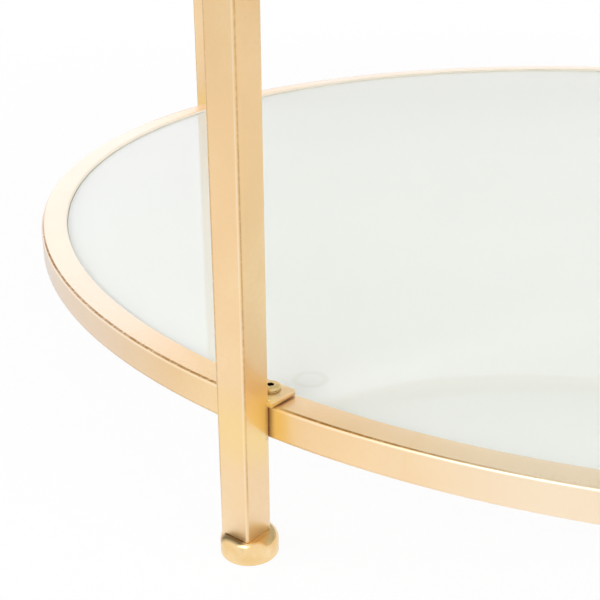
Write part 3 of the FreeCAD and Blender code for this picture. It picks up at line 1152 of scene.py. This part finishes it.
# %% [markdown]
# The photograph's background is pure white. The floor is plain and pale, and to the camera,
# to reflections and through the glass it is mostly white light of strength 1, while a part of
# it stays plain paint, so that the table's soft shadow still falls on it. In reflections its
# far parts and a place at the left are a little darker and warmer, as the room round a
# photographer's paper is, and that gives the legs and the rings their depth.

# %% Lay the floor
WHITE = (1, 1, 1, 1)
FLOOR_PAINT = (0.9, 0.9, 0.9, 1)
FLOOR_HALF = 6.0
FLOOR_LOW = -0.2 * MM
FAR_LEFT = (0.66, 0.64, 0.62, 1)
FAR_RIGHT = (0.60, 0.53, 0.43, 1)
FAR_TURN = (-0.4, 0.3)
FAR_REACH = (0.8, 1.9)
NEAR_LEFT = (0.78, 0.71, 0.65, 1)
NEAR_LEFT_X = (-0.6, -0.1)
NEAR_LEFT_Y = (-0.30, -0.20)
NEAR_REACH = (0.5, 0.8)
LIGHT_SHARE = 0.94
LIGHT_REACH = (0.6, 1.3)


def seen_directly(finish):
    """1 for what the camera sees, also in a reflection or through glass, and 0 for other light."""
    path = finish.add("ShaderNodeLightPath")
    direct = path["Is Camera Ray"] + path["Is Glossy Ray"] + path["Is Transmission Ray"]
    return direct.above(0.5)


def pale_floor():
    floor = new_finish("pale_floor")
    paint = floor.add("ShaderNodeBsdfDiffuse", None, {"Color": FLOOR_PAINT})
    spot = floor.add("ShaderNodeTexCoord")["Object"]
    away = floor.add("ShaderNodeVectorMath", {"operation": "LENGTH"}, {0: spot})["Value"]
    split = floor.add("ShaderNodeSeparateXYZ", None, {"Vector": spot})
    left = (1 - split["X"].ease(*NEAR_LEFT_X)) * split["Y"].ease(*NEAR_LEFT_Y)
    close = 1 - away.ease(*NEAR_REACH)
    far = floor.mix(split["X"].ease(*FAR_TURN), FAR_LEFT, FAR_RIGHT)
    shade = floor.mix(away.ease(*FAR_REACH), WHITE, far)
    shade = floor.mix(left * close, shade, NEAR_LEFT)
    mirrored = floor.add("ShaderNodeLightPath")["Is Glossy Ray"]
    shade = floor.mix(mirrored, WHITE, shade)
    light = floor.add("ShaderNodeEmission", None, {"Color": shade, "Strength": 1.0})
    share = seen_directly(floor) * (LIGHT_SHARE + away.ease(*LIGHT_REACH) * (1 - LIGHT_SHARE))
    blend = floor.add("ShaderNodeMixShader", None, {0: share, 1: paint["BSDF"], 2: light["Emission"]})
    return floor.surface(blend["Shader"])


rows = [[(x, y, FLOOR_LOW) for x in (-FLOOR_HALF, FLOOR_HALF)] for y in (-FLOOR_HALF, FLOOR_HALF)]
floor = skin("floor", rows, pale_floor(), around=False)
print("floor", 2 * FLOOR_HALF, "m square")

# %% [markdown]
# The world does the same as the floor: white where it is seen, and a soft even light where it
# lights the table.

# %% Light the world
SKY_LIGHT = 0.35

world = bpy.data.worlds.new("studio")
bpy.context.scene.world = world
air = Finish(world)
soft = air.add("ShaderNodeBackground", None, {"Color": WHITE, "Strength": SKY_LIGHT})
white = air.add("ShaderNodeBackground", None, {"Color": WHITE, "Strength": 1.0})
blend = air.add("ShaderNodeMixShader", None, {
    0: seen_directly(air), 1: soft["Background"], 2: white["Background"],
})
air.surface(blend["Shader"], "ShaderNodeOutputWorld")
print("world", world.name, "with a soft light of", SKY_LIGHT)

# %% [markdown]
# Four large soft lamps stand round the table and one hangs over it. They light it evenly and
# stay out of its reflections. A smaller one at the front left does the opposite: it only gives
# the metal its highlights. A weak one behind, tinted violet, takes some yellow out of the
# rings' tops.

# %% Hang the lamps
LAMP_REACH = 2.3
LAMP_HEIGHT = 0.85
LAMP_AZIMUTHS = {"left": 180, "front_left": 235, "front_right": 305, "right": 0}
LAMP_AIM = (0.0, 0.0, 0.15)
LAMP_SIZE = (1.8, 1.2)
LAMP_POWER = 26.0
BACK_TINT = (0.80, 0.74, 1.0)


def softbox(name, position, target, size, power):
    """A rectangular lamp that faces a target."""
    data = bpy.data.lights.new(name, "AREA")
    data.shape = "RECTANGLE"
    data.size, data.size_y = size
    data.energy = power
    lamp = bpy.data.objects.new(name, data)
    lamp.location = position
    lamp.rotation_euler = (Vector(target) - Vector(position)).to_track_quat("-Z", "Y").to_euler()
    bpy.context.scene.collection.objects.link(lamp)
    return lamp


for name, azimuth in LAMP_AZIMUTHS.items():
    a = math.radians(azimuth)
    position = (LAMP_REACH * math.cos(a), LAMP_REACH * math.sin(a), LAMP_HEIGHT)
    fill = softbox("softbox_" + name, position, LAMP_AIM, LAMP_SIZE, LAMP_POWER)
    fill.visible_glossy = False
over = softbox("softbox_over", (0.0, 0.0, 2.2), (0.0, 0.0, 0.4), (2.0, 2.0), 11.0)
over.visible_glossy = False
top = softbox("softbox_top", (-1.05, -1.25, 1.6), (-0.2, -0.2, 0.1), (0.9, 0.9), 9.0)
top.visible_diffuse = False
back = softbox("softbox_back", (-1.3, 2.2, 1.0), (-0.1, 0.0, 0.1), (2.6, 1.6), 3.0)
back.data.color = BACK_TINT

# %% [markdown]
# The Standard view shows each colour about as it is written here.

# %% Standard colours
bpy.context.scene.view_settings.view_transform = "Standard"
